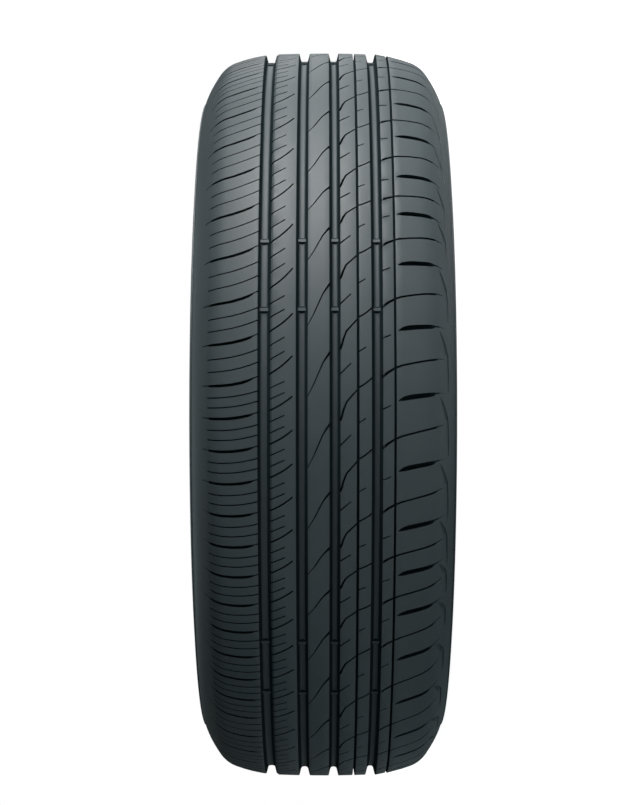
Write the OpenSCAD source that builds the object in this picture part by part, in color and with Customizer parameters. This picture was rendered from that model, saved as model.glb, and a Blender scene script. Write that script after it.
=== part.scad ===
/* [Overall size] */
// Diameter over the middle of the tread
tyre_d = 664.4; // [654:0.2:676]
// Widest width across the sidewalls
section_w = 217; // [211:0.5:223]
// Diameter of the wheel's bead seats
rim_d = 405.6; // [398:0.1:412]
// Width of the wheel between its flanges
rim_w = 165; // [158:0.5:171]
// Share of the section height, from the bead seat, at which the sidewalls are widest
widest_share = 0.51; // [0.46:0.01:0.56]

/* [Crown] */
// Width of the nearly flat middle of the tread
flat_w = 80; // [60:1:100]
// Width between the starts of the round shoulders
shoulder_w = 158; // [152:1:164]
// Crosswise radius of the flat middle
crown_arc = 1100; // [700:10:1600]
// Crosswise radius beside the flat middle
side_arc = 125; // [110:1:160]
// Radius of the shoulders
shoulder_arc = 29; // [24:0.5:34]
// Slope at which the shoulders end
shoulder_slope = 55; // [45:1:62]

/* [Wall thickness] */
// Thickness at the middle of the crown
crown_t = 14.5; // [12.5:0.5:18]
// Thickness of the shoulders at the ends of the tread
shoulder_t = 13.8; // [12:0.2:16]
// Thickness of the sidewalls where they are widest
sidewall_t = 6.5; // [5:0.5:9]
// Width of each bead from heel to toe
bead_w = 20.5; // [18:0.5:23]
// Radius of the bead heels
heel_r = 6.5; // [5:0.5:8]
// Width of the straight land on which each bead seats
land_w = 8; // [6:0.5:9]
// How far the toe of a bead stands inwards of its land
toe_drop = 1.2; // [0.6:0.1:2]
// Radius of the hollow that clears the wheel's flange
flange_r = 10; // [8:0.5:12]

/* [Main grooves] */
// Place of the outer groove on the fine side
groove_1 = 46.8; // [44:0.1:49]
// Width of the outer groove on the fine side
groove_1_w = 9.8; // [8:0.1:11]
// Place of the inner groove on the fine side
groove_2 = 16.9; // [14:0.1:19]
// Width of the inner groove on the fine side
groove_2_w = 9.4; // [8:0.1:11]
// Distance of the inner groove on the coarse side from the middle
groove_3 = 9.3; // [7:0.1:11]
// Width of the inner groove on the coarse side
groove_3_w = 8.8; // [7.5:0.1:10]
// Distance of the outer groove on the coarse side from the middle
groove_4 = 42.6; // [40:0.1:45]
// Width of the outer groove on the coarse side
groove_4_w = 9; // [7.5:0.1:10]
// Depth of the four main grooves
groove_depth = 8; // [6.5:0.1:9]
// Slope of the walls of the main grooves
groove_draft = 14; // [8:1:18]
// Distance of the inner narrow groove from the middle
narrow_1 = 27.4; // [25:0.1:30]
// Width of the inner narrow groove
narrow_1_w = 2; // [1.4:0.1:2.6]
// Distance of the outer narrow groove from the middle
narrow_2 = 56.7; // [54:0.1:60]
// Width of the outer narrow groove
narrow_2_w = 1.8; // [1.2:0.1:2.4]
// Depth of the two narrow grooves
narrow_depth = 5.5; // [3:0.1:6.5]
// Height of the wear bars above the floors of the main grooves
wear_bar_h = 1.6; // [1:0.1:2.5]
// Length of the top of a wear bar around the tyre
wear_bar_l = 2.5; // [1.5:0.5:5]

/* [Cuts across the tread] */
// Depth of the wide shoulder slots
slot_depth = 5.5; // [4:0.1:7.5]
// Depth of the thin cuts
sipe_depth = 4.5; // [3:0.1:6.5]
// Width of the wide slots of the fine side
fine_slot_w = 2.4; // [1.6:0.1:3.2]
// Width of the wide slots of the coarse side
coarse_slot_w = 4; // [2.8:0.1:4.8]
// Width of the thin cuts
sipe_w = 1; // [0.8:0.1:1.4]

/* [Sidewalls] */
// Height of the thin rings on the sidewalls
ring_h = 0.8; // [0.4:0.1:1.2]
// Width of the thin rings on the sidewalls
ring_w = 1.6; // [1:0.1:2.4]

/* [Hidden] */

tyre_r = tyre_d / 2;
rim_r = rim_d / 2;
half_w = section_w / 2;
half_rim = rim_w / 2;
widest_r = rim_r + widest_share * (tyre_r - rim_r);

// Grooves as [place across the tread, width at the top]; the fine side is positive
MAIN_GROOVES = [
    [groove_1, groove_1_w], [groove_2, groove_2_w],
    [-groove_3, groove_3_w], [-groove_4, groove_4_w]
];
NARROW_GROOVES = [[-narrow_1, narrow_1_w], [-narrow_2, narrow_2_w]];
// Wear bars stand at these two angles in each sixth of the tyre
WEAR_BAR_SETS = 6;
WEAR_BAR_TURNS = [284.8, 295.3];

// Pitch lengths relative to the shortest, and the runs of pitches as [count, which length]
PITCH_LENGTHS = [1, 1.28, 1.5];
FINE_RUNS = [
    [12, 0], [2, 1], [6, 2], [2, 1], [4, 0], [3, 1], [6, 2],
    [5, 1], [5, 0], [4, 2], [3, 1], [3, 0], [5, 2], [3, 1]
];
FINE_START = 218.75;
COARSE_RUNS = [
    [2, 2], [1, 1], [2, 0], [1, 1], [3, 2], [1, 1], [1, 0], [2, 1], [3, 2], [1, 1], [2, 0],
    [2, 1], [3, 2], [1, 1], [3, 0], [2, 1], [3, 2], [3, 1], [3, 0], [3, 2], [1, 1]
];
COARSE_START = 212.3;

// Points of a circular arc
function arc(centre, r, from, to, steps) = [
    for (i = [0:steps])
        let (turn = from + (to - from) * i / steps)
        centre + r * [cos(turn), sin(turn)]
];

// Points of a smooth curve drawn by four control points
function curve4(a, b, c, d, steps) = [
    for (i = [0:steps])
        let (t = i / steps, u = 1 - t)
        u * u * u * a + 3 * u * u * t * b + 3 * u * t * t * c + t * t * t * d
];

// Points of a smooth curve drawn by three control points
function curve3(a, b, c, steps) = [
    for (i = [0:steps])
        let (t = i / steps, u = 1 - t)
        u * u * a + 2 * u * t * b + t * t * c
];

function reversed(list) = [for (i = [len(list) - 1:-1:0]) list[i]];
function total(list, n) = n <= 0 ? 0 : list[n - 1] + total(list, n - 1);

// The crown is three arcs that meet without a corner
side_slope = asin(flat_w / 2 / crown_arc);
side_centre = flat_w / 2 - side_arc * sin(side_slope);
side_drop = crown_arc * (1 - cos(side_slope));
edge_slope = asin((shoulder_w / 2 - side_centre) / side_arc);
edge_centre = shoulder_w / 2 - shoulder_arc * sin(edge_slope);
edge_drop = side_drop + side_arc * (cos(side_slope) - cos(edge_slope));

// Radius of the tread surface at a distance across from the middle plane
function tread_r(across) =
    let (a = abs(across))
    tyre_r - (
        a <= flat_w / 2 ? crown_arc - sqrt(pow(crown_arc, 2) - a * a) :
        a <= shoulder_w / 2 ? side_drop + side_arc * cos(side_slope)
            - sqrt(pow(side_arc, 2) - pow(a - side_centre, 2)) :
        edge_drop + shoulder_arc * cos(edge_slope)
            - sqrt(pow(shoulder_arc, 2) - pow(a - edge_centre, 2))
    );

// Outline points are [radius, across]
function crown_points() = concat(
    arc([tyre_r - crown_arc, 0], crown_arc, 0, side_slope, 1),
    arc([tyre_r - side_drop - side_arc * cos(side_slope), side_centre],
        side_arc, side_slope, edge_slope, 2),
    arc([tyre_r - edge_drop - shoulder_arc * cos(edge_slope), edge_centre],
        shoulder_arc, edge_slope, shoulder_slope, 3)
);

shoulder_end = [
    tyre_r - edge_drop - shoulder_arc * (cos(edge_slope) - cos(shoulder_slope)),
    edge_centre + shoulder_arc * sin(shoulder_slope)
];
widest = [widest_r, half_w];
upper_len = norm(widest - shoulder_end);

// The hollow for the flange starts above the heel and turns outwards
flange_gap = 2;
flange_turn = 55;
flange_start = [rim_r + heel_r + flange_gap, half_rim];
flange_end = flange_start + flange_r * [sin(flange_turn), 1 - cos(flange_turn)];
lower_len = norm(widest - flange_end);

// Sidewall above and below its widest place; the shares set how full each curve is
function upper_sidewall() = curve4(
    shoulder_end,
    shoulder_end + 0.33 * upper_len * [-sin(shoulder_slope), cos(shoulder_slope)],
    widest + [0.39 * upper_len, 0],
    widest, 6
);
function lower_sidewall() = curve4(
    widest,
    widest - [0.33 * lower_len, 0],
    flange_end + 0.3 * lower_len * [cos(flange_turn), sin(flange_turn)],
    flange_end, 6
);

// Bead with the hollow for the flange, the heel, the straight land and the toe
toe_bevel = 1.5;
function bead_points() = concat(
    arc(flange_start + [0, flange_r], flange_r, flange_turn - 90, -90, 3),
    arc([rim_r + heel_r, half_rim - heel_r], heel_r, 90, 180, 4),
    [
        [rim_r, half_rim - heel_r - land_w],
        [rim_r - toe_drop, half_rim - bead_w + toe_bevel],
        [rim_r - toe_drop + toe_bevel, half_rim - bead_w]
    ]
);

// Inner face from the bead over the sidewall and the shoulder to the middle of the crown
bead_h = 10;
bead_lean = 1;
inner_turn = 60;
bead_top = [rim_r + bead_h, half_rim - bead_w + bead_lean];
inner_widest = widest - [0, sidewall_t];
inner_shoulder = shoulder_end - shoulder_t * [cos(shoulder_slope), sin(shoulder_slope)];
inner_crown = [tyre_r - crown_t, 0];
inner_way = [cos(inner_turn), -sin(inner_turn)];
inner_lower_len = norm(inner_widest - bead_top);
inner_side_len = norm(inner_shoulder - inner_widest);
inner_crown_len = norm(inner_crown - inner_shoulder);
function inner_points() = concat(
    curve4(
        bead_top, bead_top + inner_lower_len * [0.2, 0.12],
        inner_widest - [0.33 * inner_lower_len, 0], inner_widest, 6),
    curve4(
        inner_widest, inner_widest + [0.35 * inner_side_len, 0],
        inner_shoulder - 0.35 * inner_side_len * inner_way, inner_shoulder, 4),
    curve4(
        inner_shoulder, inner_shoulder + 0.3 * inner_crown_len * inner_way,
        inner_crown + [0, 0.45 * inner_crown_len], inner_crown, 5)
);

function half_outline() = concat(
    crown_points(), upper_sidewall(), lower_sidewall(), bead_points(), inner_points()
);

// The whole section is the half outline and its mirror image
function clean(points) = [
    for (i = [0:len(points) - 1])
        if (i == 0 || norm(points[i] - points[i - 1]) > 0.01) points[i]
];
function mirrored(points) = [for (p = reversed(points)) [p[0], -p[1]]];
function section_points() =
    let (half = clean(half_outline()), n = len(half))
    concat(half, [for (i = [1:n - 2]) mirrored(half)[i]]);

// Section of a main groove with sloped walls, open above the tread
module main_groove(across, width) {
    over = 3;
    floor_r = tread_r(across) - groove_depth;
    floor_half = width / 2 - groove_depth * tan(groove_draft);
    top_half = width / 2 + over * tan(groove_draft);
    top = groove_depth + over;
    translate([floor_r, across])
        polygon([[0, -floor_half], [top, -top_half], [top, top_half], [0, floor_half]]);
}

module narrow_groove(across, width) {
    over = 3;
    translate([tread_r(across) - narrow_depth, across - width / 2])
        square([narrow_depth + over, width]);
}

// Thin raised ring at one of the points of a sidewall curve
module sidewall_ring(points, i, side) {
    root = 1;
    way = points[i + 1] - points[i - 1];
    scale([1, side])
        translate(points[i])
            rotate(atan2(way[1], way[0]))
                polygon([
                    [-ring_w, root], [-ring_w / 2, -ring_h],
                    [ring_w / 2, -ring_h], [ring_w, root]
                ]);
}

// The casing is one section turned about the spin axis
module carcass() {
    rotate_extrude($fn = 180)
        difference() {
            union() {
                polygon(section_points());
                for (side = [-1, 1]) {
                    for (i = [2, 4]) sidewall_ring(lower_sidewall(), i, side);
                    sidewall_ring(upper_sidewall(), 4, side);
                }
            }
            for (g = MAIN_GROOVES) main_groove(g[0], g[1]);
            for (g = NARROW_GROOVES) narrow_groove(g[0], g[1]);
        }
}

// Small bar across the floor of a main groove, with sloped ends
module wear_bar(across, width, turn) {
    foot = 1;
    top = wear_bar_l / 2;
    bottom = top + wear_bar_h + foot;
    rotate([0, 0, turn])
        translate([tread_r(across) - groove_depth, 0, across])
            linear_extrude(width, center = true)
                polygon([
                    [-foot, -bottom], [wear_bar_h, -top], [wear_bar_h, top], [-foot, bottom]
                ]);
}

module wear_bars() {
    into_wall = 0.5;
    for (set = [0:WEAR_BAR_SETS - 1], turn = WEAR_BAR_TURNS, g = MAIN_GROOVES)
        wear_bar(g[0], g[1] - 2 * into_wall, turn + set * 360 / WEAR_BAR_SETS);
}

// Outline of a thin cut along a line of points [along, across], with a width at each point
function ribbon(line, widths) =
    let (
        n = len(line) - 1,
        ways = [for (i = [0:n]) line[min(i + 1, n)] - line[max(i - 1, 0)]],
        sides = [
            for (i = [0:n])
                let (w = is_list(widths) ? widths[i] : widths)
                [-ways[i][1], ways[i][0]] / norm(ways[i]) * w / 2
        ]
    )
    concat(
        [for (i = [0:n]) line[i] + sides[i]],
        [for (i = [n:-1:0]) line[i] - sides[i]]
    );

// Ribs and shoulders between the grooves, as [start across, end across]
FINE_SHOULDER = [groove_1 + groove_1_w / 2, shoulder_end[1]];
FINE_RIB = [groove_1 - groove_1_w / 2, groove_2 + groove_2_w / 2];
CENTRE_RIB = [-groove_3 + groove_3_w / 2, groove_2 - groove_2_w / 2];
COARSE_RIB = [-groove_3 - groove_3_w / 2, -narrow_1];
NARROW_RIB = [-narrow_1, -groove_4 + groove_4_w / 2];
COARSE_SHOULDER = [-narrow_2 - narrow_2_w / 2, -shoulder_end[1]];

// Points [share of the pitch, share of the rib] become [millimetres along, across]
function on_rib(line, pitch, rib) = [
    for (p = line) [p[0] * pitch_mm(pitch), rib[0] + p[1] * (rib[1] - rib[0])]
];
function pitch_mm(pitch) = pitch * PI * tyre_r / 180;

// Straight cut down to a level floor, for the narrow ribs
module rib_cut(turn, outline) {
    across = (min([for (p = outline) p[1]]) + max([for (p = outline) p[1]])) / 2;
    rotate([0, 0, turn])
        translate([tread_r(across) - sipe_depth, 0, 0])
            rotate([90, 0, 90])
                linear_extrude(sipe_depth + 3) polygon(outline);
}

// Cut whose floor follows the round shoulder and runs out at its end
module shoulder_cut(turn, depth, outline, start) {
    side = sign(start);
    inner = abs(start);
    bend = shoulder_w / 2 + 3;
    end = shoulder_end + [1, 0.5];
    reach = 2 * max([for (p = outline) abs(p[0])]) + 4;
    rotate([0, 0, turn])
        intersection() {
            translate([end[0] - 10, 0, 0])
                rotate([90, 0, 90])
                    linear_extrude(tyre_r + 4 - (end[0] - 10)) polygon(outline);
            rotate([90, 0, 0])
                linear_extrude(reach, center = true)
                    polygon([
                        [tyre_r + 3, start],
                        [tread_r(inner) - depth, start],
                        [tread_r(bend) - depth, side * bend],
                        [end[0], side * end[1]],
                        [tyre_r + 3, side * end[1]]
                    ]);
        }
}

// Lines of the cuts as [share of the pitch, share of the rib]
FINE_LINE = [for (s = [-0.08, 0.36, 1.1]) [0.19 * pow(1 - s / 0.8, 2) - 0.15, s]];
FINE_RIB_LINE = curve3([-0.22, -0.06], [-0.04, 0.5], [0.22, 0.88], 2);
FINE_SHORT_LINE = [[-0.11, -0.06], [0.11, 0.58]];
COARSE_SLOT_LINE = [[-0.1, 0.04], [-0.05, 0.27], [-0.01, 0.66], [0.02, 1.1]];
COARSE_SIPE_LINE = curve3([-0.2, -0.34], [0.06, -0.1], [0.1, 1.1], 4);
COARSE_RIB_LINE = curve3([-0.2, 0.1], [0, 0.25], [0.2, 1.05], 2);
NARROW_RIB_LINE = curve3([-0.1, -0.05], [-0.02, 0.8], [0.1, 0.96], 2);
CENTRE_LINE = curve3([0.31, -0.06], [0.02, 0.5], [-0.32, 0.86], 2);

// One pitch of the fine side: a wide slot, and thin cuts in the shoulder and the next rib
module fine_pitch(turn, pitch) {
    start = groove_1;
    widths = [0.5, 1, 0.75] * fine_slot_w;
    shoulder_cut(turn + 0.2 * pitch, slot_depth,
        ribbon(on_rib(FINE_LINE, pitch, FINE_SHOULDER), widths), start);
    for (share = [0.53, 0.835])
        shoulder_cut(turn + share * pitch, sipe_depth,
            ribbon(on_rib(FINE_LINE, pitch, FINE_SHOULDER), sipe_w), start);
    rib_cut(turn + 0.5 * pitch, ribbon(on_rib(FINE_RIB_LINE, pitch, FINE_RIB), sipe_w));
    for (share = [0.72, 1.05])
        rib_cut(turn + share * pitch,
            ribbon(on_rib(FINE_SHORT_LINE, pitch, FINE_RIB), sipe_w));
}

// One pitch of the coarse side: its cuts sweep from the middle of the tread to the shoulder
module coarse_pitch(turn, pitch) {
    widths = [0.1, 1, 0.75, 0.25] * coarse_slot_w;
    shoulder_cut(turn + 0.2 * pitch, slot_depth,
        ribbon(on_rib(COARSE_SLOT_LINE, pitch, COARSE_SHOULDER), widths), COARSE_SHOULDER[0]);
    shoulder_cut(turn + 0.6 * pitch, sipe_depth,
        ribbon(on_rib(COARSE_SIPE_LINE, pitch, COARSE_SHOULDER), sipe_w), -groove_4);
    rib_cut(turn + 0.5 * pitch, ribbon(on_rib(CENTRE_LINE, pitch, CENTRE_RIB), sipe_w));
    rib_cut(turn + 0.085 * pitch, ribbon(on_rib(COARSE_RIB_LINE, pitch, COARSE_RIB), sipe_w));
    rib_cut(turn + 0.355 * pitch, ribbon(on_rib(NARROW_RIB_LINE, pitch, NARROW_RIB), sipe_w));
}

// The pitches of one side follow each other round the whole tyre
function pitch_lengths(runs) = [
    for (run = runs) for (i = [1:run[0]]) PITCH_LENGTHS[run[1]]
];

module fine_side() {
    lengths = pitch_lengths(FINE_RUNS);
    whole = total(lengths, len(lengths));
    for (i = [0:len(lengths) - 1]) {
        turn = FINE_START + 360 * total(lengths, i) / whole;
        fine_pitch(turn, 360 * lengths[i] / whole);
    }
}

module coarse_side() {
    lengths = pitch_lengths(COARSE_RUNS);
    whole = total(lengths, len(lengths));
    for (i = [0:len(lengths) - 1]) {
        turn = COARSE_START + 360 * total(lengths, i) / whole;
        coarse_pitch(turn, 360 * lengths[i] / whole);
    }
}

module tyre() {
    color("#3b4143")
        difference() {
            union() {
                carcass();
                wear_bars();
            }
            fine_side();
            coarse_side();
        }
}

tyre();
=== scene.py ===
import math

import bpy
from mathutils import Matrix, Vector


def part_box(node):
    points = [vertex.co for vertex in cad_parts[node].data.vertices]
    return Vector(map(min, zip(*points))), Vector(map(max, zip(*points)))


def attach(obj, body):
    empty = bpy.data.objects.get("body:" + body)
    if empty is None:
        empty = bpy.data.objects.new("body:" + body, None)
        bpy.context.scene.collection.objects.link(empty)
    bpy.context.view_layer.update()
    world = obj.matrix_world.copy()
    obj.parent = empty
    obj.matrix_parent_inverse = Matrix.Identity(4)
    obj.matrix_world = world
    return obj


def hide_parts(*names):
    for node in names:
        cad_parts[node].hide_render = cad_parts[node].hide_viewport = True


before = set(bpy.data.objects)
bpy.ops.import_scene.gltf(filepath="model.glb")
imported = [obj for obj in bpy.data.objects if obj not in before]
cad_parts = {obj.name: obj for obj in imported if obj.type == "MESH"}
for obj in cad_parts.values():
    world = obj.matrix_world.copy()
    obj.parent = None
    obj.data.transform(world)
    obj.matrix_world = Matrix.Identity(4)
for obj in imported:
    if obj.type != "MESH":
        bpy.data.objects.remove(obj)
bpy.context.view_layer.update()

# The casing: one ring of rubber, pressed and vulcanised in a heated mould round its cords
# and bead wires. Its section is drawn once, with the grooves that run all the way round,
# and turned about the spin axis. The fine-pitched side of the tread faces +Z.
lowest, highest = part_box("tyre")
TYRE_R = min(highest.x, highest.y, -lowest.x, -lowest.y)
HALF_WIDTH = min(highest.z, -lowest.z)
RIM_R = 0.2028
HALF_RIM = 0.0825
WIDEST_SHARE = 0.51
FLAT_HALF = 0.040
SHOULDER_HALF = 0.079
CROWN_ARC = 1.1
SIDE_ARC = 0.125
SHOULDER_ARC = 0.029
SHOULDER_SLOPE = math.radians(55)
CROWN_T = 0.0145
SHOULDER_T = 0.0138
SIDEWALL_T = 0.0065
BEAD_W = 0.0205
HEEL_R = 0.0065
LAND_W = 0.008
TOE_DROP = 0.0012
TOE_BEVEL = 0.0015
TOE_RISE = 0.001
FLANGE_R = 0.010
FLANGE_GAP = 0.002
FLANGE_TURN = math.radians(55)
BEAD_H = 0.010
INNER_TURN = math.radians(60)
SPIN_STEPS = 240
MERGE_GAP = 1e-6

# How far the handles of each curve reach, as shares of the distance between its ends
UPPER_PULLS = (0.33, 0.39)
LOWER_PULLS = (0.33, 0.3)
INNER_BEAD_PULL = (0.2, 0.12)
INNER_LOWER_PULL = 0.33
INNER_SIDE_PULL = 0.35
INNER_CROWN_PULLS = (0.3, 0.45)

# Steps of the crown's arcs, of the sidewall, of the bead's arcs and of the inner face
CROWN_STEPS = (4, 5, 7)
WALL_STEPS = 12
BEAD_STEPS = (4, 6)
INNER_STEPS = (6, 4, 5)

# Grooves as (place across the tread, width at the top)
GROOVE_1 = (0.0468, 0.0098)
GROOVE_2 = (0.0169, 0.0094)
GROOVE_3 = (-0.0093, 0.0088)
GROOVE_4 = (-0.0426, 0.0090)
NARROW_1 = (-0.0274, 0.0020)
NARROW_2 = (-0.0567, 0.0018)
MAIN_GROOVES = (GROOVE_1, GROOVE_2, GROOVE_3, GROOVE_4)
NARROW_GROOVES = (NARROW_1, NARROW_2)
GROOVE_DEPTH = 0.008
GROOVE_DRAFT = math.radians(14)
GROOVE_EDGE = 0.0005
GROOVE_FOOT = 0.0022
GROOVE_FOOT_STEPS = 4
NARROW_DEPTH = 0.0055
NARROW_EDGE = 0.0003
NARROW_FOOT = 0.0006
NARROW_FOOT_STEPS = 2
EDGE_STEPS = 2
GROOVE_CLEAR = 0.0012

# Raised rings, and the points of the sidewall's two curves that they stand on
RING_H = 0.0008
RING_HALF = 0.0008
UPPER_RING_AT = 8
LOWER_RINGS_AT = (8, 4)


def arc(centre, radius, start, end, steps):
    turns = [start + (end - start) * i / steps for i in range(steps + 1)]
    return [centre + radius * Vector((math.cos(t), math.sin(t))) for t in turns]


def curve3(a, b, c, steps):
    shares = [i / steps for i in range(steps + 1)]
    return [(1 - t) ** 2 * a + 2 * (1 - t) * t * b + t * t * c for t in shares]


def curve4(a, b, c, d, steps):
    shares = [i / steps for i in range(steps + 1)]
    return [
        (1 - t) ** 3 * a + 3 * (1 - t) ** 2 * t * b + 3 * (1 - t) * t * t * c + t**3 * d
        for t in shares
    ]


def square_to(way):
    return Vector((-way.y, way.x)).normalized()


# Outline points are (radius, across); the crown is three arcs that meet without a corner
side_slope = math.asin(FLAT_HALF / CROWN_ARC)
side_centre = Vector((
    TYRE_R - CROWN_ARC * (1 - math.cos(side_slope)) - SIDE_ARC * math.cos(side_slope),
    FLAT_HALF - SIDE_ARC * math.sin(side_slope),
))
edge_slope = math.asin((SHOULDER_HALF - side_centre.y) / SIDE_ARC)
edge_centre = side_centre + (SIDE_ARC - SHOULDER_ARC) * Vector(
    (math.cos(edge_slope), math.sin(edge_slope))
)
crown = arc(Vector((TYRE_R - CROWN_ARC, 0)), CROWN_ARC, 0, side_slope, CROWN_STEPS[0])
crown += arc(side_centre, SIDE_ARC, side_slope, edge_slope, CROWN_STEPS[1])[1:]
crown += arc(edge_centre, SHOULDER_ARC, edge_slope, SHOULDER_SLOPE, CROWN_STEPS[2])[1:]
shoulder_end = crown[-1]
widest = Vector((RIM_R + WIDEST_SHARE * (TYRE_R - RIM_R), HALF_WIDTH))
upper_len = (widest - shoulder_end).length
shoulder_way = Vector((-math.sin(SHOULDER_SLOPE), math.cos(SHOULDER_SLOPE)))
upper_sidewall = curve4(
    shoulder_end,
    shoulder_end + UPPER_PULLS[0] * upper_len * shoulder_way,
    widest + Vector((UPPER_PULLS[1] * upper_len, 0)),
    widest,
    WALL_STEPS,
)
flange_start = Vector((RIM_R + HEEL_R + FLANGE_GAP, HALF_RIM))
flange_end = flange_start + FLANGE_R * Vector(
    (math.sin(FLANGE_TURN), 1 - math.cos(FLANGE_TURN))
)
flange_way = Vector((math.cos(FLANGE_TURN), math.sin(FLANGE_TURN)))
lower_len = (widest - flange_end).length
lower_sidewall = curve4(
    widest,
    widest - Vector((LOWER_PULLS[0] * lower_len, 0)),
    flange_end + LOWER_PULLS[1] * lower_len * flange_way,
    flange_end,
    WALL_STEPS,
)
flange_centre = flange_start + Vector((0, FLANGE_R))
heel_centre = Vector((RIM_R + HEEL_R, HALF_RIM - HEEL_R))
bead = arc(flange_centre, FLANGE_R, FLANGE_TURN - math.pi / 2, -math.pi / 2, BEAD_STEPS[0])
bead += arc(heel_centre, HEEL_R, math.pi / 2, math.pi, BEAD_STEPS[1])
toe_r = RIM_R - TOE_DROP
bead += [
    Vector((RIM_R, HALF_RIM - HEEL_R - LAND_W)),
    Vector((toe_r, HALF_RIM - BEAD_W + TOE_BEVEL)),
    Vector((toe_r + TOE_BEVEL, HALF_RIM - BEAD_W)),
]
bead_top = Vector((RIM_R + BEAD_H, HALF_RIM - BEAD_W + TOE_RISE))
inner_widest = widest - Vector((0, SIDEWALL_T))
inner_shoulder = shoulder_end - SHOULDER_T * Vector(
    (math.cos(SHOULDER_SLOPE), math.sin(SHOULDER_SLOPE))
)
inner_crown = Vector((TYRE_R - CROWN_T, 0))
inner_way = Vector((math.cos(INNER_TURN), -math.sin(INNER_TURN)))
inner_lower = (inner_widest - bead_top).length
inner_side = (inner_shoulder - inner_widest).length
inner_upper = (inner_crown - inner_shoulder).length
inner_face = curve4(
    bead_top,
    bead_top + inner_lower * Vector(INNER_BEAD_PULL),
    inner_widest - Vector((INNER_LOWER_PULL * inner_lower, 0)),
    inner_widest,
    INNER_STEPS[0],
)
inner_face += curve4(
    inner_widest,
    inner_widest + Vector((INNER_SIDE_PULL * inner_side, 0)),
    inner_shoulder - INNER_SIDE_PULL * inner_side * inner_way,
    inner_shoulder,
    INNER_STEPS[1],
)[1:]
inner_face += curve4(
    inner_shoulder,
    inner_shoulder + INNER_CROWN_PULLS[0] * inner_upper * inner_way,
    inner_crown + Vector((0, INNER_CROWN_PULLS[1] * inner_upper)),
    inner_crown,
    INNER_STEPS[2],
)[1:]


# A thin raised ring takes the place of one point of the sidewall's outline
def with_ring(points, i):
    way = (points[i + 1] - points[i - 1]).normalized()
    out = -square_to(way) if square_to(way).y < 0 else square_to(way)
    foot = RING_HALF + RING_H / 2
    ring = [
        points[i] - foot * way,
        points[i] - RING_HALF * way + RING_H * out,
        points[i] + RING_HALF * way + RING_H * out,
        points[i] + foot * way,
    ]
    return points[:i] + ring + points[i + 1:]


tread_outline = crown + upper_sidewall[1:]
for ring_at in LOWER_RINGS_AT:
    lower_sidewall = with_ring(lower_sidewall, ring_at)
side_outline = with_ring(upper_sidewall, UPPER_RING_AT)[1:] + lower_sidewall[1:] + bead[1:]


# The tread's surface at a distance across from the middle plane, and the way out of it
def surface(across):
    a = abs(across)
    n = next(i for i in range(1, len(tread_outline)) if tread_outline[i].y >= a)
    low, high = tread_outline[n - 1], tread_outline[n]
    share = (a - low.y) / (high.y - low.y)
    out = -square_to(high - low)
    out.x = abs(out.x)
    side = 1 if across >= 0 else -1
    point = low.lerp(high, share)
    return Vector((point.x, side * point.y)), Vector((out.x, side * abs(out.y)))


# A make of groove is (depth, draft of its walls, rounding of its edges, of its feet, steps)
MAIN_MAKE = (GROOVE_DEPTH, GROOVE_DRAFT, GROOVE_EDGE, GROOVE_FOOT, GROOVE_FOOT_STEPS)
NARROW_MAKE = (NARROW_DEPTH, 0, NARROW_EDGE, NARROW_FOOT, NARROW_FOOT_STEPS)


def mirrored(points):
    return [Vector((p.x, -p.y)) for p in reversed(points)]


# A groove's outline from its lower edge to its upper edge
def groove_outline(groove, make):
    place, width = groove
    depth, draft, edge, foot, foot_steps = make
    top = surface(place + width / 2)[0] - Vector((0, place))
    floor_r = surface(place)[0].x - depth
    corner = Vector((floor_r, width / 2 - (top.x - floor_r) * math.tan(draft)))
    down = (corner - top).normalized()
    half = curve3(corner - Vector((0, foot)), corner, corner - foot * down, foot_steps)
    half += curve3(top + edge * down, top, top + Vector((0, edge)), EDGE_STEPS)
    return [p + Vector((0, place)) for p in mirrored(half) + half]


def crown_outline():
    across = sorted({round(s * p.y, 7) for p in crown for s in (-1, 1)})
    grooves = [(groove, MAIN_MAKE) for groove in MAIN_GROOVES]
    grooves += [(groove, NARROW_MAKE) for groove in NARROW_GROOVES]
    grooves.sort()
    outline = []
    for z in across:
        while grooves and z > grooves[0][0][0]:
            outline += groove_outline(*grooves.pop(0))
        if all(abs(z - g) > w / 2 + GROOVE_CLEAR for g, w in MAIN_GROOVES + NARROW_GROOVES):
            outline.append(surface(z)[0])
    return outline


section = crown_outline() + side_outline + inner_face
section += mirrored(side_outline + inner_face[:-1])


def put_down(name):
    piece = bpy.context.object
    piece.name = name
    return piece


bpy.ops.object.select_all(action="DESELECT")
bpy.ops.mesh.primitive_circle_add(vertices=len(section), radius=1)
tyre = put_down("tyre_casing")
for vertex, point in zip(tyre.data.vertices, section):
    vertex.co = (point.x, 0, point.y)
bpy.ops.object.mode_set(mode="EDIT")
bpy.ops.mesh.select_all(action="SELECT")
bpy.ops.mesh.spin(steps=SPIN_STEPS, angle=2 * math.pi, center=(0, 0, 0), axis=(0, 0, 1))
bpy.ops.mesh.select_all(action="SELECT")
bpy.ops.mesh.remove_doubles(threshold=MERGE_GAP)
bpy.ops.mesh.normals_make_consistent(inside=False)
bpy.ops.object.mode_set(mode="OBJECT")


def combine(piece, other, operation):
    bpy.ops.object.select_all(action="DESELECT")
    bpy.context.view_layer.objects.active = piece
    piece.select_set(True)
    bpy.ops.object.modifier_add(type="BOOLEAN")
    boolean = piece.modifiers[-1]
    boolean.operation = operation
    boolean.solver = "MANIFOLD"
    boolean.object = other
    bpy.ops.object.modifier_apply(modifier=boolean.name)
    bpy.data.objects.remove(other)


def copied(piece, turns):
    copies = []
    for turn in turns:
        copy = piece.copy()
        copy.data = piece.data.copy()
        copy.data.transform(Matrix.Rotation(turn, 4, "Z"))
        bpy.context.scene.collection.objects.link(copy)
        copies.append(copy)
    bpy.data.objects.remove(piece)
    return copies


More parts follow.
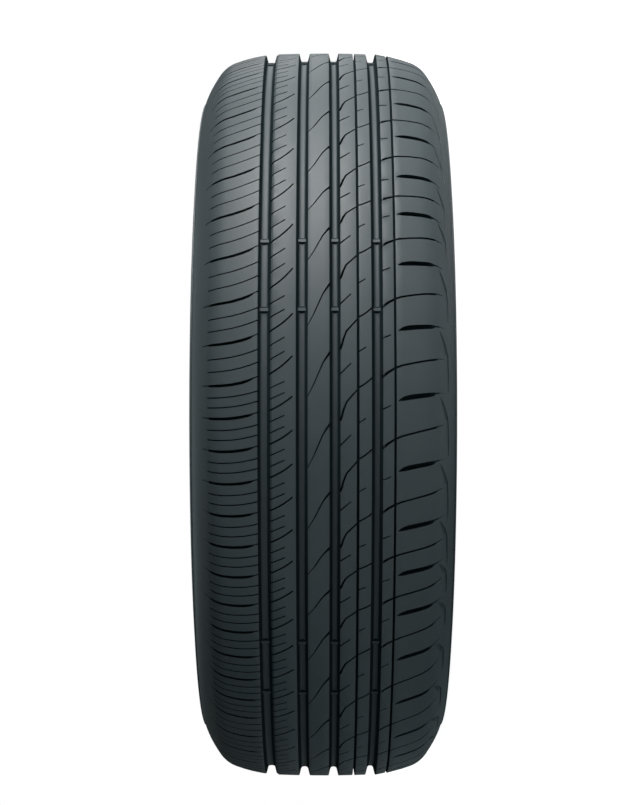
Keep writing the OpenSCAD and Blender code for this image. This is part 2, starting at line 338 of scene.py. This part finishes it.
def joined(pieces):
    bpy.ops.object.select_all(action="DESELECT")
    for piece in pieces:
        piece.select_set(True)
    bpy.context.view_layer.objects.active = pieces[0]
    bpy.ops.object.join()
    return bpy.context.object


# Wear bars: small bridges of rubber across the floors of the main grooves, moulded with the
# tread, that show how far it has worn. They stand at two places in each sixth of the tyre,
# and the places are turns in degrees.
WEAR_BAR_H = 0.0016
WEAR_BAR_L = 0.0025
WEAR_BAR_TURNS = (284.8, 295.3)
WEAR_BAR_SETS = 6
BAR_FOOT = 0.001
BAR_GAP = 0.0008

bars = []
for place, width in MAIN_GROOVES:
    floor_r = surface(place)[0].x - GROOVE_DEPTH
    bar_half = width / 2 - BAR_GAP
    bpy.ops.object.select_all(action="DESELECT")
    bpy.ops.mesh.primitive_cube_add(size=1)
    bar = put_down("wear_bar")
    for vertex in bar.data.vertices:
        out, along, across = vertex.co
        length = WEAR_BAR_L / 2 + (WEAR_BAR_H + BAR_FOOT if out < 0 else 0)
        vertex.co = (
            floor_r + (WEAR_BAR_H if out > 0 else -BAR_FOOT),
            math.copysign(length, along),
            place + math.copysign(bar_half, across),
        )
    turns = [
        math.radians(turn + i * 360 / WEAR_BAR_SETS)
        for i in range(WEAR_BAR_SETS)
        for turn in WEAR_BAR_TURNS
    ]
    bars += copied(bar, turns)
combine(tyre, joined(bars), "UNION")

# Cuts across the tread: thin steel blades in the mould leave them in the rubber. Each blade
# is modelled once for each pitch length, as a row of four-cornered sections on the crown, and
# copied round the tyre. A station is (share of the pitch, across, width, depth).
BLADE_RISE = 0.0006
MM = 0.001


# A blade starts as a stack of squares, one unit apart, and each square's corners then go to
# their places on both sides of the cut: corners 0 and 3 above the tread, 1 and 2 below it
def blade(name, stations, pitch_len):
    bpy.ops.object.select_all(action="DESELECT")
    bpy.ops.mesh.primitive_circle_add(vertices=4, radius=0.5, fill_type="NGON")
    cutter = put_down(name)
    bpy.ops.object.mode_set(mode="EDIT")
    for _ in stations[1:]:
        bpy.ops.mesh.extrude_region_move(TRANSFORM_OT_translate={"value": (0, 0, 1)})
    bpy.ops.object.mode_set(mode="OBJECT")
    line = [Vector((share * pitch_len, across)) for share, across, _, _ in stations]
    last = len(line) - 1
    for vertex in cutter.data.vertices:
        n = round(vertex.co.z)
        corner = round(math.atan2(vertex.co.y, vertex.co.x) / (math.pi / 2)) % 4
        way = line[min(n + 1, last)] - line[max(n - 1, 0)]
        _, _, width, depth = stations[n]
        side = 1 if corner in (0, 1) else -1
        level = BLADE_RISE if corner in (0, 3) else -depth
        spot = line[n] + side * width / 2 * square_to(way)
        point, out = surface(spot.y)
        point += level * out
        turn = spot.x / TYRE_R
        vertex.co = (point.x * math.cos(turn), point.x * math.sin(turn), point.y)
    bpy.ops.object.mode_set(mode="EDIT")
    bpy.ops.mesh.select_all(action="SELECT")
    bpy.ops.mesh.normals_make_consistent(inside=False)
    bpy.ops.object.mode_set(mode="OBJECT")
    return cutter


# Pitches of one side as (turn, angle), worked out from runs of (count, which length)
PITCH_LENGTHS = (1, 1.28, 1.5)


def pitches_of(runs, start):
    row = [PITCH_LENGTHS[which] for count, which in runs for _ in range(count)]
    unit = 2 * math.pi / sum(row)
    turns = [math.radians(start) + unit * sum(row[:i]) for i in range(len(row))]
    return [(turn, unit * length) for turn, length in zip(turns, row)]


# A blade stands in each pitch at the given shares of its length
def cut_all(name, stations, pitches, shares):
    cutters = []
    for angle in sorted({round(pitch, 6) for _, pitch in pitches}):
        pitch_len = angle * TYRE_R
        places = [
            turn + share * pitch
            for turn, pitch in pitches
            if round(pitch, 6) == angle
            for share in shares
        ]
        cutters += copied(blade(name, stations, pitch_len), places)
    return cutters


def in_metres(stations):
    return [(share, a * MM, w * MM, d * MM) for share, a, w, d in stations]


# Stations along a curve, evenly spaced, whose width and depth change from end to end
def along_curve(points, steps, widths, depths):
    line = curve3(*[Vector(point) for point in points], steps)
    stations = []
    for i, spot in enumerate(line):
        share = i / steps
        width = widths[0] + share * (widths[1] - widths[0])
        depth = depths[0] + share * (depths[1] - depths[0])
        stations.append((spot.x, spot.y, width, depth))
    return in_metres(stations)


# Fine-pitched side: in the shoulder a wide slot that starts as a thin cut at the outer groove,
# and two thin cuts of the same sweep behind it, all fading out down the shoulder. The rib
# beside it has slanted cuts of two lengths.
FINE_RUNS = (
    (12, 0), (2, 1), (6, 2), (2, 1), (4, 0), (3, 1), (6, 2),
    (5, 1), (5, 0), (4, 2), (3, 1), (3, 0), (5, 2), (3, 1),
)
FINE_START = 218.75
FINE_INNER = 51.7
FINE_OUTER = 92.66
SWEEP_REACH = 0.19
SWEEP_FAR = 0.8
SWEEP_BACK = 0.15
fine_pitches = pitches_of(FINE_RUNS, FINE_START)


# All cuts of the fine shoulder follow this sweep, which is a share of the pitch
def fine_sweep(across):
    share = (across - FINE_INNER) / (FINE_OUTER - FINE_INNER)
    return SWEEP_REACH * (1 - share / SWEEP_FAR) ** 2 - SWEEP_BACK


# Slot stations as (across, width, depth, shift of its middle), in millimetres
FINE_SLOT = (
    (48.6, 0.9, 4.5, 0), (54.6, 0.9, 4.5, 0), (56.4, 1.5, 5.5, -0.3), (59, 2.2, 5.5, -0.6),
    (64, 2.4, 5.5, -0.7), (72, 2.4, 5.5, -0.6), (80, 2.3, 5.5, -0.4), (86, 2.2, 4.2, -0.3),
    (89.6, 2, 3.2, -0.2), (91.2, 1, 0.8, 0), (95.8, 0.8, 0.3, 0),
)
FINE_SIPE_PLACES = (48.6, 56, 64, 72, 80, 86, 90, 91.6)
FINE_SIPE_DEPTHS = (4.5, 4.5, 4.5, 4.5, 4.5, 3.4, 1.8, 0.3)
FINE_SIPE_W = 1.0
USUAL_PITCH = 0.0326
fine_slot = [
    (fine_sweep(a) + shift * MM / USUAL_PITCH, a * MM, w * MM, d * MM)
    for a, w, d, shift in FINE_SLOT
]
fine_sipe = in_metres([
    (fine_sweep(a), a, FINE_SIPE_W, d) for a, d in zip(FINE_SIPE_PLACES, FINE_SIPE_DEPTHS)
])
fine_rib_cut = along_curve(
    ((-0.22, 43.1), (-0.04, 31.8), (0.22, 24.1)), steps=5, widths=(1.4, 1.3), depths=(4.5, 4.5)
)
fine_short_cut = along_curve(
    ((-0.11, 43.1), (0, 36.6), (0.11, 30.2)), steps=2, widths=(1, 1), depths=(3, 1.6)
)
cutters = cut_all("fine_slot", fine_slot, fine_pitches, shares=(0.2,))
cutters += cut_all("fine_sipe", fine_sipe, fine_pitches, shares=(0.53, 0.835))
cutters += cut_all("fine_rib_cut", fine_rib_cut, fine_pitches, shares=(0.5,))
cutters += cut_all("fine_short_cut", fine_short_cut, fine_pitches, shares=(0.72, 1.05))

# Coarse-pitched side: a leaf-shaped slot in the shoulder, a thin cut that sweeps from the
# outer groove over the shoulder, and long and short cuts in the ribs up to the middle.
COARSE_RUNS = (
    (2, 2), (1, 1), (2, 0), (1, 1), (3, 2), (1, 1), (1, 0), (2, 1), (3, 2), (1, 1), (2, 0),
    (2, 1), (3, 2), (1, 1), (3, 0), (2, 1), (3, 2), (3, 1), (3, 0), (3, 2), (1, 1),
)
COARSE_START = 212.3
coarse_pitches = pitches_of(COARSE_RUNS, COARSE_START)

# Stations as (share of the pitch, across, width, depth), with sizes in millimetres
COARSE_SLOT = (
    (-0.1, -59, 0.3, 3), (-0.085, -60.5, 1.5, 5.5), (-0.066, -63.5, 3.4, 5.5),
    (-0.047, -67.5, 4, 5.5), (-0.031, -73, 4, 5.5), (-0.014, -80, 3.8, 5.5),
    (-0.002, -84.4, 3.7, 4), (0.008, -87.4, 2.9, 1.4), (0.02, -89, 1.4, 0.6),
    (0.03, -92.5, 1, 0.4), (0.033, -95.5, 0.8, 0.2),
)
COARSE_SIPE = (
    (-0.2, -45.7, 2.2, 4.5), (-0.12, -51, 2, 4.5), (-0.058, -56.7, 1.7, 4.5),
    (-0.022, -61.6, 1.6, 4.5), (0.003, -67, 1.5, 4.5), (0.038, -75, 1.5, 4.5),
    (0.066, -82, 1.6, 4.2), (0.092, -88.4, 1.7, 2.8), (0.11, -90.6, 1.1, 0.8),
    (0.125, -95.5, 0.7, 0.2),
)
CENTRE_CUT = (
    (0.275, -6.2, 2.2, 4.5), (0.19, -2.7, 1.5, 4.5), (0.1, 0.4, 1.1, 4.5),
    (-0.04, 3.8, 1, 4), (-0.18, 7.1, 0.9, 2.8), (-0.37, 12.6, 0.7, 0.9),
)
COARSE_RIB_CUT = (
    (-0.26, -13.4, 1.7, 4.5), (-0.2, -14.6, 1.7, 4.5), (-0.11, -15.9, 1.6, 4.5),
    (0, -18.3, 1.4, 4.5), (0.1, -23.2, 1.3, 4.5), (0.19, -27.6, 1.2, 4.5),
)
coarse_rib_short = along_curve(
    ((-0.08, -12.9), (0, -17.4), (0.08, -21.9)), steps=2, widths=(1.2, 1), depths=(3, 1.5)
)
narrow_rib_cut = along_curve(
    ((-0.1, -26.9), (-0.045, -33.5), (0.05, -38.6)), steps=4, widths=(1.4, 1.2), depths=(4.5, 4.5)
)
narrow_rib_short = along_curve(
    ((-0.04, -27), (0, -30), (0.04, -33.6)), steps=2, widths=(1.1, 1), depths=(2.5, 1.2)
)
outer_rib_short = along_curve(
    ((-0.03, -46.1), (0, -50), (0.03, -53.2)), steps=2, widths=(1.1, 1), depths=(2.5, 1.2)
)

# A shallow line that steps out from the end of each slot and follows the shoulder's edge
SCALLOP = (
    (-0.03, -92.6, 0.8, 0.2), (-0.1, -94, 1.8, 0.5), (-0.22, -96.2, 2.4, 0.6),
    (-0.37, -98.2, 2.6, 0.6), (-0.6, -99, 2.2, 0.6), (-0.85, -99.4, 1.6, 0.4),
    (-0.95, -99.5, 0.8, 0.2),
)
cutters += cut_all("coarse_slot", in_metres(COARSE_SLOT), coarse_pitches, shares=(0.2,))
cutters += cut_all("scallop", in_metres(SCALLOP), coarse_pitches, shares=(0.2,))
cutters += cut_all("coarse_sipe", in_metres(COARSE_SIPE), coarse_pitches, shares=(0.625,))
cutters += cut_all("centre_cut", in_metres(CENTRE_CUT), coarse_pitches, shares=(0.525,))
cutters += cut_all("coarse_rib_cut", in_metres(COARSE_RIB_CUT), coarse_pitches, shares=(0.085,))
cutters += cut_all("coarse_rib_short", coarse_rib_short, coarse_pitches, shares=(0.55,))
cutters += cut_all("narrow_rib_cut", narrow_rib_cut, coarse_pitches, shares=(0.38,))
cutters += cut_all("narrow_rib_short", narrow_rib_short, coarse_pitches, shares=(0.82,))
cutters += cut_all("outer_rib_short", outer_rib_short, coarse_pitches, shares=(1.01,))
combine(tyre, joined(cutters), "DIFFERENCE")

SMOOTH_ANGLE = math.radians(35)
bpy.ops.object.select_all(action="DESELECT")
bpy.context.view_layer.objects.active = tyre
tyre.select_set(True)
bpy.ops.object.shade_smooth_by_angle(angle=SMOOTH_ANGLE)

# Four materials share the casing. A face deep in a cut or on the wall of a groove gets less
# light in the photograph than an open studio gives it, so it gets painted shade: a darker
# material. Faces of shallow cuts and rounded feet carry a painted-shade mark that leads over to it.
TREAD, PAINTED_SHADE, SIDE, LINER = range(4)
SCALLOP_EDGE = 0.101
DEPTH_CLEAR = 0.001

# A face that looks away from the middle of the air chamber, at this radius, is on the outside
AIR_R = 0.26

# Depths at which a cut's face starts to take painted shade and has it in full
CUT_CLEAR = 0.0001
FULL_SHADE = 0.0009

# A groove's floor has faint painted shade, and its feet more and more as they get steeper
FLOOR_ZONE = 1.2 * WEAR_BAR_H
FLOOR_SHADE = 0.1
FLAT_LIFT = 0.97
STEEP_LIFT = 0.72
SCALLOP_SHADE = 0.4
PAINTED_SHADE_MARK = 0.8

tyre.data.materials.clear()
# A face attribute that holds how much painted shade each face has
painted_shade_marks = tyre.data.attributes.new("painted_shade_in_cut", "FLOAT", "FACE")
tread_edge = shoulder_end.y
tread_floor = shoulder_end.x - GROOVE_DEPTH


def painted_shade_at(depth, lift):
    if depth > GROOVE_DEPTH - FLOOR_ZONE and lift > STEEP_LIFT:
        steepness = min(max((FLAT_LIFT - lift) / (FLAT_LIFT - STEEP_LIFT), 0), 1)
        return FLOOR_SHADE + (1 - FLOOR_SHADE) * steepness
    return min(depth / FULL_SHADE, 1) if depth > CUT_CLEAR else 0


# Each face near the tread gets its amount of painted shade; the darkest take the painted-shade
# material
for face, painted_shade in zip(tyre.data.polygons, painted_shade_marks.data):
    radius = face.center.xy.length
    across = face.center.z
    lift = face.normal.xy.dot(face.center.xy) / radius
    near_tread = radius > tread_floor and abs(across) < SCALLOP_EDGE
    depth = surface(across)[0].x - radius if near_tread else 0
    if not near_tread or depth > GROOVE_DEPTH + DEPTH_CLEAR:
        away_from_air = (radius - AIR_R) * lift + across * face.normal.z
        face.material_index = SIDE if away_from_air > 0 else LINER
        continue
    painted_shade.value = painted_shade_at(depth, lift)
    face.material_index = TREAD
    if abs(across) > tread_edge:
        painted_shade.value *= SCALLOP_SHADE
        face.material_index = SIDE
    if painted_shade.value > PAINTED_SHADE_MARK:
        face.material_index = PAINTED_SHADE

# What all the rubber shares: a mottled tone that darkens with the painted-shade mark, and a fine
# grain
MOTTLE_SCALE = 35
MOTTLE_DETAIL = 5
# The colour of the painted shade in cuts and on the walls of grooves
PAINTED_SHADE_TONE = (0.012, 0.020, 0.023, 1)
GRAIN_SCALE = 1400
GRAIN_DETAIL = 3
GRAIN_STRENGTH = 0.15
GRAIN_H = 0.0002
MATT_SPREAD = 0.08
skin = bpy.data.node_groups.new("moulded_skin", "ShaderNodeTree")
for socket, kind in (("Darker", "Color"), ("Paler", "Color"), ("Painted shade", "Float"), ("Matt", "Float")):
    skin.interface.new_socket(socket, in_out="INPUT", socket_type="NodeSocket" + kind)
for socket, kind in (("Tone", "Color"), ("Roughness", "Float"), ("Normal", "Vector")):
    skin.interface.new_socket(socket, in_out="OUTPUT", socket_type="NodeSocket" + kind)
nodes, links = skin.nodes, skin.links
given = nodes.new("NodeGroupInput")
made = nodes.new("NodeGroupOutput")
coords = nodes.new("ShaderNodeTexCoord")
mottle = nodes.new("ShaderNodeTexNoise")
mottle.inputs["Scale"].default_value = MOTTLE_SCALE
mottle.inputs["Detail"].default_value = MOTTLE_DETAIL
links.new(coords.outputs["Object"], mottle.inputs["Vector"])
tone = nodes.new("ShaderNodeMix")
tone.data_type = "RGBA"
links.new(mottle.outputs["Fac"], tone.inputs["Factor"])
links.new(given.outputs["Darker"], tone.inputs["A"])
links.new(given.outputs["Paler"], tone.inputs["B"])
# Painted shade: the tone goes over to the dark one as the mark rises
shaded = nodes.new("ShaderNodeMix")
shaded.data_type = "RGBA"
shaded.inputs["B"].default_value = PAINTED_SHADE_TONE
links.new(given.outputs["Painted shade"], shaded.inputs["Factor"])
links.new(tone.outputs["Result"], shaded.inputs["A"])
links.new(shaded.outputs["Result"], made.inputs["Tone"])
grain = nodes.new("ShaderNodeTexNoise")
grain.inputs["Scale"].default_value = GRAIN_SCALE
grain.inputs["Detail"].default_value = GRAIN_DETAIL
links.new(coords.outputs["Object"], grain.inputs["Vector"])
spread = nodes.new("ShaderNodeMapRange")
spread.inputs["To Min"].default_value = -MATT_SPREAD
spread.inputs["To Max"].default_value = MATT_SPREAD
links.new(grain.outputs["Fac"], spread.inputs["Value"])
matt = nodes.new("ShaderNodeMath")
matt.operation = "ADD"
links.new(spread.outputs["Result"], matt.inputs[0])
links.new(given.outputs["Matt"], matt.inputs[1])
dulled = nodes.new("ShaderNodeMix")
dulled.inputs["B"].default_value = 1.0
links.new(given.outputs["Painted shade"], dulled.inputs["Factor"])
links.new(matt.outputs["Value"], dulled.inputs["A"])
links.new(dulled.outputs["Result"], made.inputs["Roughness"])
grain_bump = nodes.new("ShaderNodeBump")
grain_bump.inputs["Strength"].default_value = GRAIN_STRENGTH
grain_bump.inputs["Distance"].default_value = GRAIN_H
links.new(grain.outputs["Fac"], grain_bump.inputs["Height"])
links.new(grain_bump.outputs["Normal"], made.inputs["Normal"])


def rubber_finish(name, darker, paler, roughness, specular):
    rubber = bpy.data.materials.new(name)
    rubber.use_nodes = True
    nodes, links = rubber.node_tree.nodes, rubber.node_tree.links
    shader = nodes["Principled BSDF"]
    shader.inputs["Specular IOR Level"].default_value = specular
    surface_skin = nodes.new("ShaderNodeGroup")
    surface_skin.node_tree = skin
    surface_skin.inputs["Darker"].default_value = (*darker, 1)
    surface_skin.inputs["Paler"].default_value = (*paler, 1)
    surface_skin.inputs["Matt"].default_value = roughness
    # Every rubber material reads the painted-shade mark of its faces
    painted_shade_attribute = nodes.new("ShaderNodeAttribute")
    painted_shade_attribute.attribute_name = "painted_shade_in_cut"
    links.new(painted_shade_attribute.outputs["Fac"], surface_skin.inputs["Painted shade"])
    links.new(surface_skin.outputs["Tone"], shader.inputs["Base Color"])
    links.new(surface_skin.outputs["Roughness"], shader.inputs["Roughness"])
    links.new(surface_skin.outputs["Normal"], shader.inputs["Normal"])
    tyre.data.materials.append(rubber)
    return nodes, links, surface_skin, shader


# Fine raised lines on a finish: a wave of the coordinate that is given to them
LINE_STRENGTH = 0.5


def fine_lines(finish, along, pitch, height):
    nodes, links, surface_skin, shader = finish
    turns = nodes.new("ShaderNodeMath")
    turns.operation = "MULTIPLY"
    turns.inputs[1].default_value = 2 * math.pi / pitch
    links.new(along, turns.inputs[0])
    wave = nodes.new("ShaderNodeMath")
    wave.operation = "SINE"
    links.new(turns.outputs["Value"], wave.inputs[0])
    line_bump = nodes.new("ShaderNodeBump")
    line_bump.inputs["Strength"].default_value = LINE_STRENGTH
    line_bump.inputs["Distance"].default_value = height
    links.new(wave.outputs["Value"], line_bump.inputs["Height"])
    links.new(surface_skin.outputs["Normal"], line_bump.inputs["Normal"])
    links.new(line_bump.outputs["Normal"], shader.inputs["Normal"])


rubber_finish(
    "tread_rubber",
    darker=(0.031, 0.043, 0.047),
    paler=(0.041, 0.053, 0.057),
    roughness=0.56,
    specular=0.5,
)
# Painted shade: a darker, matt rubber for faces deep in cuts and on the walls of grooves
rubber_finish(
    "painted_shade_rubber",
    darker=(0.010, 0.017, 0.020),
    paler=(0.014, 0.023, 0.026),
    roughness=0.8,
    specular=0.05,
)

# The sidewalls' mould was turned, which leaves fine lines that run round them
sidewall = rubber_finish(
    "sidewall_rubber",
    darker=(0.032, 0.044, 0.048),
    paler=(0.042, 0.054, 0.058),
    roughness=0.54,
    specular=0.5,
)
nodes, links = sidewall[:2]
coords = nodes.new("ShaderNodeTexCoord")
flat = nodes.new("ShaderNodeVectorMath")
flat.operation = "MULTIPLY"
flat.inputs[1].default_value = (1, 1, 0)
links.new(coords.outputs["Object"], flat.inputs[0])
reach = nodes.new("ShaderNodeVectorMath")
reach.operation = "LENGTH"
links.new(flat.outputs["Vector"], reach.inputs[0])
fine_lines(sidewall, reach.outputs["Value"], pitch=0.0009, height=0.00003)

# The liner inside is smoother, with slanted lines from the bladder that pressed it outwards
LINER_LINES = 200
LINER_SLANT = 4.0
liner = rubber_finish(
    "liner_rubber",
    darker=(0.028, 0.033, 0.035),
    paler=(0.036, 0.042, 0.044),
    roughness=0.42,
    specular=0.5,
)
nodes, links = liner[:2]
coords = nodes.new("ShaderNodeTexCoord")
parts = nodes.new("ShaderNodeSeparateXYZ")
links.new(coords.outputs["Object"], parts.inputs["Vector"])
turn = nodes.new("ShaderNodeMath")
turn.operation = "ARCTAN2"
links.new(parts.outputs["Y"], turn.inputs[0])
links.new(parts.outputs["X"], turn.inputs[1])
slant = nodes.new("ShaderNodeMath")
slant.operation = "MULTIPLY_ADD"
slant.inputs[1].default_value = LINER_SLANT
links.new(parts.outputs["Z"], slant.inputs[0])
links.new(turn.outputs["Value"], slant.inputs[2])
fine_lines(liner, slant.outputs["Value"], pitch=2 * math.pi / LINER_LINES, height=0.0002)

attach(tyre, "root")
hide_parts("tyre")

# Studio: a white floor under the sidewall that the tyre lies on, a white surround, a large
# soft lamp above the tread as the photograph shows it, and weak lamps round the tyre.
WHITE = (1, 1, 1)
COOL_WHITE = (0.8, 1, 1.06)
FLOOR_SIZE = 60
FLOOR_COLOUR = (0.85, 0.85, 0.85, 1)
FLOOR_ROUGHNESS = 0.9

# How strongly the floor and the surround light the tyre, and how bright the camera sees them
FLOOR_GLOWS = (0.16, 0.96)
SURROUND_GLOWS = (0.045, 1.0)

bpy.ops.object.select_all(action="DESELECT")
bpy.ops.mesh.primitive_plane_add(size=FLOOR_SIZE, location=(0, 0, lowest.z))
floor = put_down("floor")
floor_white = bpy.data.materials.new("floor_white")
floor_white.use_nodes = True
nodes, links = floor_white.node_tree.nodes, floor_white.node_tree.links
floor_shader = nodes["Principled BSDF"]
floor_shader.inputs["Base Color"].default_value = FLOOR_COLOUR
floor_shader.inputs["Roughness"].default_value = FLOOR_ROUGHNESS
light_path = nodes.new("ShaderNodeLightPath")
floor_glow = nodes.new("ShaderNodeMapRange")
floor_glow.inputs["To Min"].default_value = FLOOR_GLOWS[0]
floor_glow.inputs["To Max"].default_value = FLOOR_GLOWS[1]
links.new(light_path.outputs["Is Camera Ray"], floor_glow.inputs["Value"])
links.new(floor_glow.outputs["Result"], floor_shader.inputs["Emission Strength"])
floor_tint = nodes.new("ShaderNodeMix")
floor_tint.data_type = "RGBA"
floor_tint.inputs["A"].default_value = (*COOL_WHITE, 1)
floor_tint.inputs["B"].default_value = (*WHITE, 1)
links.new(light_path.outputs["Is Camera Ray"], floor_tint.inputs["Factor"])
links.new(floor_tint.outputs["Result"], floor_shader.inputs["Emission Color"])
floor.data.materials.append(floor_white)

world = bpy.data.worlds.new("surround")
bpy.context.scene.world = world
world.use_nodes = True
nodes, links = world.node_tree.nodes, world.node_tree.links
surround = nodes["Background"]
surround.inputs["Color"].default_value = (*WHITE, 1)
light_path = nodes.new("ShaderNodeLightPath")
strength = nodes.new("ShaderNodeMapRange")
strength.inputs["To Min"].default_value = SURROUND_GLOWS[0]
strength.inputs["To Max"].default_value = SURROUND_GLOWS[1]
links.new(light_path.outputs["Is Camera Ray"], strength.inputs["Value"])
links.new(strength.outputs["Result"], surround.inputs["Strength"])

LAMP_DISTANCE = 2.5


# A lamp stands at an angle above the line of sight, and at an angle out along the spin axis
def softbox(name, above, aside, width, length, power, colour):
    above, aside = math.radians(above), math.radians(aside)
    place = LAMP_DISTANCE * Vector((
        math.cos(aside) * math.sin(above), -math.cos(aside) * math.cos(above), math.sin(aside)
    ))
    bpy.ops.object.light_add(type="AREA", location=place)
    lamp = put_down(name)
    lamp.data.shape = "RECTANGLE"
    lamp.data.size = width
    lamp.data.size_y = length
    lamp.data.energy = power
    lamp.data.color = colour
    lamp.rotation_euler = (-place).to_track_quat("-Z", "Y").to_euler()


# Lamps as (name, above, aside, width, length, power, colour)
LAMPS = (
    ("key_softbox", 66, 0, 1.75, 1.8, 180, WHITE),
    ("back_softbox", 125, 0, 1.6, 1.2, 18, WHITE),
    ("low_softbox", -45, 0, 0.9, 1.2, 3, COOL_WHITE),
    ("side_softbox", -40, 24, 1.4, 1.4, 4.8, COOL_WHITE),
    ("far_side_softbox", 180, 41, 1.4, 1.4, 6, COOL_WHITE),
)
for lamp_values in LAMPS:
    softbox(*lamp_values)

# The camera looks straight at the tread, with the spin axis lying across the picture
CAMERA_DISTANCE = 2.056
CAMERA_LENS = 98.6
SENSOR_W = 36
PHOTO_W = 640
PHOTO_H = 805
TYRE_CENTRE_X = 323.2
TYRE_CENTRE_Y = 414.5
bpy.ops.object.camera_add()
camera = put_down("camera")
camera.data.lens = CAMERA_LENS
camera.data.sensor_width = SENSOR_W
camera.data.shift_x = (PHOTO_W / 2 - TYRE_CENTRE_X) / PHOTO_H
camera.data.shift_y = (TYRE_CENTRE_Y - PHOTO_H / 2) / PHOTO_H
camera.matrix_world = Matrix((
    (0, 1, 0, 0),
    (0, 0, -1, -CAMERA_DISTANCE),
    (-1, 0, 0, 0),
    (0, 0, 0, 1),
))
bpy.context.scene.camera = camera
bpy.context.scene.view_settings.view_transform = "Standard"
